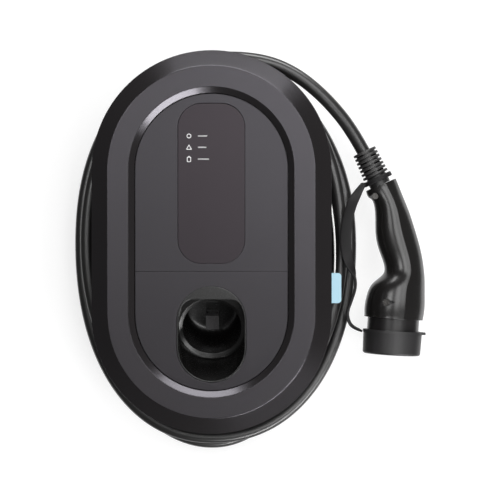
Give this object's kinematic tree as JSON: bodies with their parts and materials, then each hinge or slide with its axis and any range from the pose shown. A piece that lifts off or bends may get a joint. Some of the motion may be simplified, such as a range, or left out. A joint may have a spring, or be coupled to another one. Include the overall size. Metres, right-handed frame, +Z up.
{
  "type": "ev wallbox",
  "caption": "Wall-mounted electric car charger: oval body with an inset front panel and window, a slanted parking socket, and a charging cable wound on a drum behind its cover.",
  "frame": {"origin": "centre of the oval body on the wall plane", "axes": "+Z up, +Y into the wall, the front faces -Y, +X to the right as seen from the front"},
  "size_m": [0.3621, 0.13, 0.4106],
  "materials": {
    "housing": "fine grain",
    "cover": "fine grain",
    "panel": "fine grain",
    "window": "smoked satin",
    "dock": "satin",
    "seal": "matt",
    "steel": "zinc plated",
    "board": "solder mask",
    "clear": "clear",
    "device": "moulded",
    "core": "moulded",
    "brown": "insulation",
    "blue": "insulation",
    "green": "insulation",
    "gland": "moulded",
    "cable": "satin sheath",
    "plug": "satin",
    "nose": "moulded",
    "brass": "plated",
    "strap": "satin",
    "tag": "matt card",
    "string": "thread"
  },
  "bodies": {
    "charger": {"rear_housing": "housing", "front_cover": "cover", "cover_gasket": "seal", "upper_panel": "panel", "lower_panel": "panel", "display_window": "window", "dock_socket": "dock", "cover_screws": "steel", "indicator_board": "board", "light_guides": "clear", "main_board": "board", "board_screws": "steel", "contactor": "device", "terminal_block": "device", "leakage_sensor": "core", "power_module": "core", "supply_grommet": "seal", "outlet_gland_body": "gland", "outlet_gland_nut": "gland", "outlet_lock_nut": "gland", "line_wire": "brown", "neutral_wire": "blue", "earth_wire": "green", "cable_lead_in": "cable", "cable_coil": "cable", "cable_tail": "cable", "cable_boot": "seal", "strap_ring": "strap", "plug_shell_front": "plug", "plug_shell_rear": "plug", "plug_screws": "steel", "plug_nose": "nose", "plug_contacts": "brass", "cap_strap": "strap", "hang_tag": "tag", "tag_string": "string"},
    "cap": {"plug_cap": "strap"}
  },
  "joints": [
    {"name": "cap_pull", "type": "slide", "parent": "charger", "child": "cap", "axis": [-0.061, 0, -0.9981], "range_m": [0, 0.045], "deforming": ["cap_strap"]}
  ]
}
